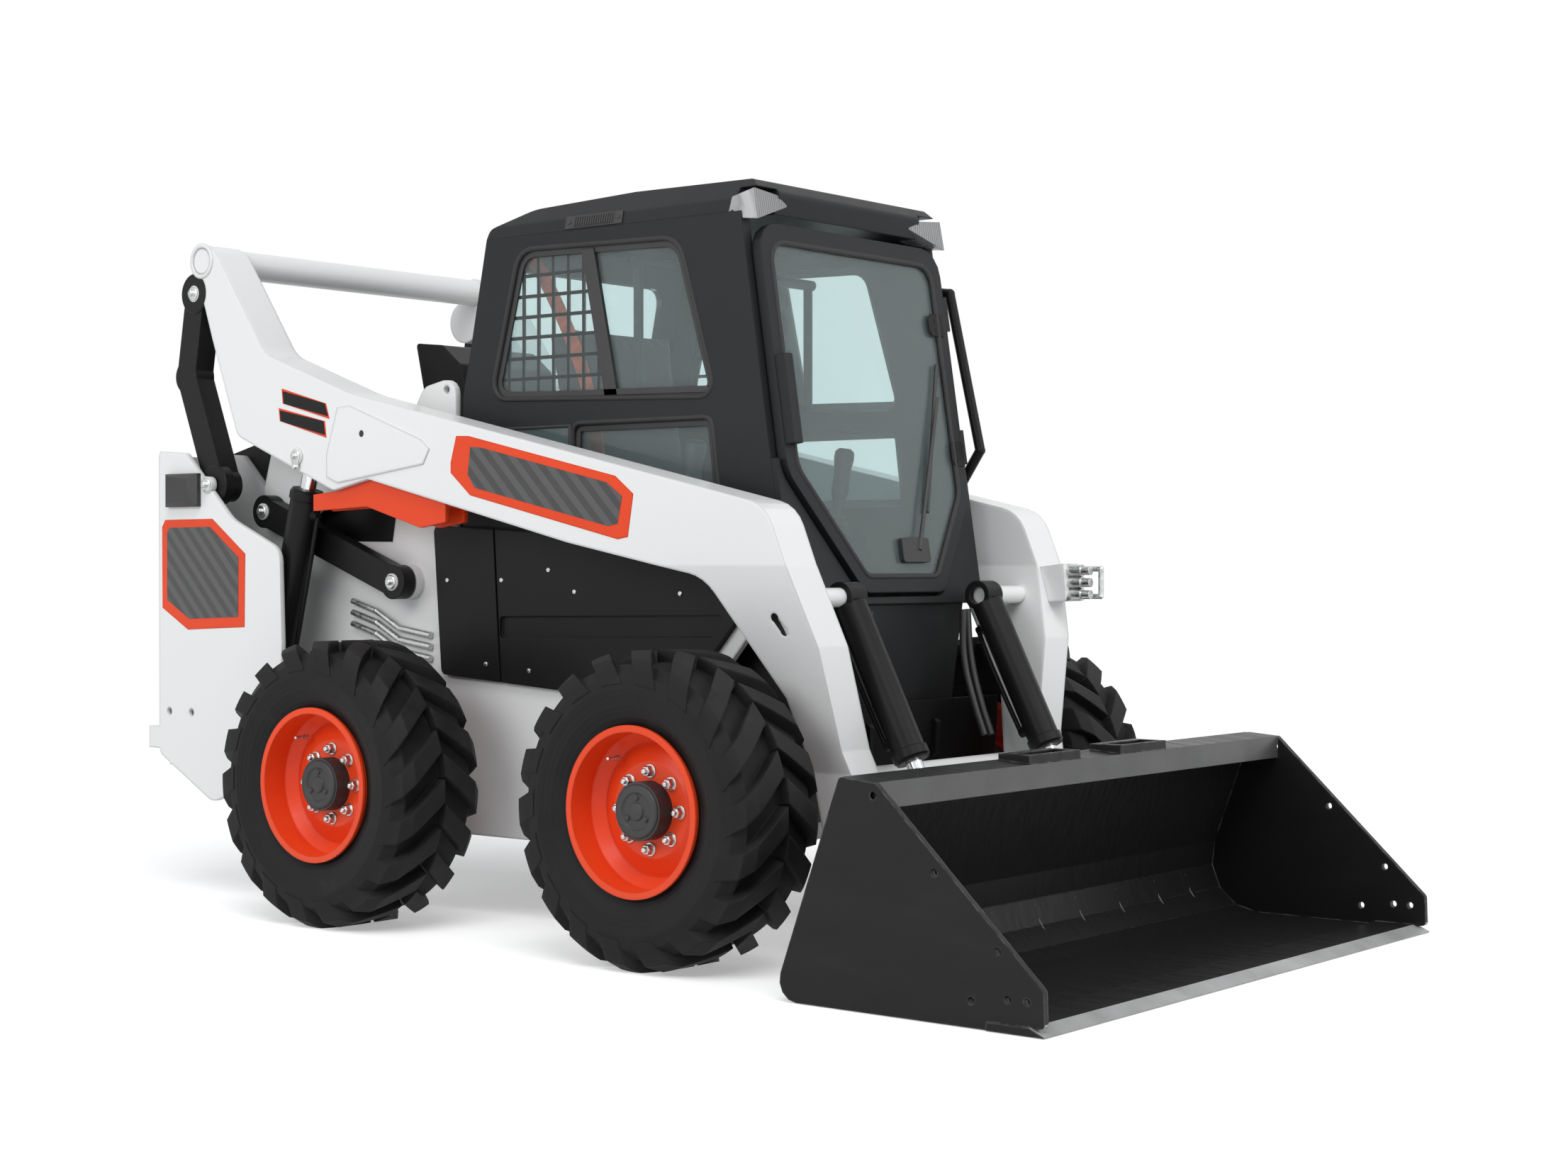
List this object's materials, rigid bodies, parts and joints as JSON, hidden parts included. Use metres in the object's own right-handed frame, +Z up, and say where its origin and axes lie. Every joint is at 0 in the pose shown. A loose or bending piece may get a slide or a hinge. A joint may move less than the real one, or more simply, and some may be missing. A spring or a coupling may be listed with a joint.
{
  "type": "skid steer loader",
  "caption": "Compact wheeled loader with an enclosed cab, vertical-lift arms on each side and a wide front bucket that lifts and tilts.",
  "frame": {"origin": "middle of the bounding box at ground level", "axes": "+X towards the bucket, +Y to the machine's left, +Z up"},
  "size_m": [3.615, 2.009, 2.097],
  "materials": {
    "white_paint": "gloss",
    "black_paint": "satin",
    "charcoal_paint": "satin",
    "orange_paint": "gloss",
    "tyre_rubber": "matte",
    "clear_glass": "gloss",
    "steel_rod": "polished",
    "iron": "matte",
    "plastic": "matte",
    "seat_cover": "woven",
    "belt_web": "woven",
    "lamp_lens": "gloss"
  },
  "bodies": {
    "chassis": {"main_frame": "white_paint", "axle_housings": "iron", "engine": "iron", "side_covers": "black_paint", "hood": "black_paint", "lamps": "lamp_lens", "cab_left_wall": "charcoal_paint", "cab_right_wall": "charcoal_paint", "cab_roof": "charcoal_paint", "cab_rear_wall": "charcoal_paint", "cab_floor": "charcoal_paint", "cab_front_panel": "charcoal_paint", "cab_glass": "clear_glass", "window_guards": "black_paint", "grab_handle": "black_paint", "seat_base": "plastic", "seat_cushion": "seat_cover", "seat_back": "seat_cover", "seat_belt": "belt_web", "control_levers": "plastic", "seat_bar": "black_paint", "hydraulic_lines": "steel_rod"},
    "front_door": {"door_frame": "black_paint", "door_glass": "clear_glass", "wiper": "plastic"},
    "rear_door": {"tailgate": "black_paint"},
    "arms": {"lift_arm_left": "white_paint", "lift_arm_right": "white_paint", "arm_cross_members": "white_paint", "arm_support": "orange_paint", "couplers": "black_paint"},
    "rear_link_pair": {"rear_links": "black_paint"},
    "control_link_pair": {"control_links": "black_paint"},
    "lift_barrel_pair": {"lift_barrels": "black_paint"},
    "lift_rod_pair": {"lift_rods": "steel_rod"},
    "tilt_barrel_pair": {"tilt_barrels": "black_paint"},
    "tilt_rod_pair": {"tilt_rods": "steel_rod"},
    "tool": {"attachment_plate": "black_paint", "bucket": "black_paint"},
    "wheel_front_left_turn": {"tyre_front_left": "tyre_rubber", "wheel_front_left": "orange_paint"},
    "wheel_front_right_turn": {"tyre_front_right": "tyre_rubber", "wheel_front_right": "orange_paint"},
    "wheel_rear_left_turn": {"tyre_rear_left": "tyre_rubber", "wheel_rear_left": "orange_paint"},
    "wheel_rear_right_turn": {"tyre_rear_right": "tyre_rubber", "wheel_rear_right": "orange_paint"}
  },
  "joints": [
    {"name": "wheel_front_left_spin", "type": "hinge", "parent": "chassis", "child": "wheel_front_left_turn", "pos_m": [0.5125, 0.7925, 0.4115], "axis": [0, 1, 0], "continuous": true},
    {"name": "wheel_front_right_spin", "type": "hinge", "parent": "chassis", "child": "wheel_front_right_turn", "pos_m": [0.5125, -0.7925, 0.4115], "axis": [0, 1, 0], "continuous": true},
    {"name": "wheel_rear_left_spin", "type": "hinge", "parent": "chassis", "child": "wheel_rear_left_turn", "pos_m": [-0.7175, 0.7925, 0.4115], "axis": [0, 1, 0], "continuous": true},
    {"name": "wheel_rear_right_spin", "type": "hinge", "parent": "chassis", "child": "wheel_rear_right_turn", "pos_m": [-0.7175, -0.7925, 0.4115], "axis": [0, 1, 0], "continuous": true},
    {"name": "lift", "type": "hinge", "parent": "chassis", "child": "control_link_pair", "pos_m": [-0.8145, 0, 0.99], "axis": [0, 1, 0], "range_deg": [0, 55]},
    {"name": "arm_on_control_links", "type": "hinge", "parent": "control_link_pair", "child": "arms", "pos_m": [-1.4125, 0, 1.21], "axis": [0, -1, 0], "range_deg": [-0.5, 106.33]},
    {"name": "rear_link_on_arm", "type": "hinge", "parent": "arms", "child": "rear_link_pair", "pos_m": [-1.6025, 0, 1.9], "axis": [0, 1, 0], "range_deg": [-0.5, 48.51]},
    {"name": "lift_cylinder_swing", "type": "hinge", "parent": "chassis", "child": "lift_barrel_pair", "pos_m": [-1.3375, 0, 0.5], "axis": [0, 1, 0], "range_deg": [-0.5, 1.97]},
    {"name": "lift_rod_stroke", "type": "slide", "parent": "lift_barrel_pair", "child": "lift_rod_pair", "axis": [0.2602, 0, 0.9656], "range_m": [-0.002, 0.6102]},
    {"name": "bucket_tilt", "type": "hinge", "parent": "arms", "child": "tool", "pos_m": [0.9075, 0, 0.23], "axis": [0, 1, 0], "range_deg": [-28, 78]},
    {"name": "tilt_cylinder_swing", "type": "hinge", "parent": "arms", "child": "tilt_barrel_pair", "pos_m": [0.7475, 0, 0.955], "axis": [0, 1, 0], "range_deg": [-1.13, 2.25]},
    {"name": "tilt_rod_stroke", "type": "slide", "parent": "tilt_barrel_pair", "child": "tilt_rod_pair", "axis": [0.4531, 0, -0.8914], "range_m": [-0.0824, 0.2259]},
    {"name": "front_door_hinge", "type": "hinge", "parent": "chassis", "child": "front_door", "pos_m": [0.66226, 0.432, 0.9331], "axis": [-0.1549, 0, 0.9879], "range_deg": [0, 90]},
    {"name": "rear_door_hinge", "type": "hinge", "parent": "chassis", "child": "rear_door", "pos_m": [-1.7925, 0.44, 0.95], "axis": [0, 0, -1], "range_deg": [0, 90]}
  ],
  "couplings": [
    {"joint": "arm_on_control_links", "follows": "lift", "ratio": 1.9241},
    {"joint": "rear_link_on_arm", "follows": "lift", "ratio": 0.8729},
    {"joint": "lift_cylinder_swing", "follows": "lift", "ratio": 0.026644},
    {"joint": "lift_rod_stroke", "follows": "lift", "m_per_rad": 0.63357},
    {"joint": "tilt_cylinder_swing", "follows": "bucket_tilt", "ratio": 0.022462},
    {"joint": "tilt_rod_stroke", "follows": "bucket_tilt", "m_per_rad": 0.16447}
  ]
}
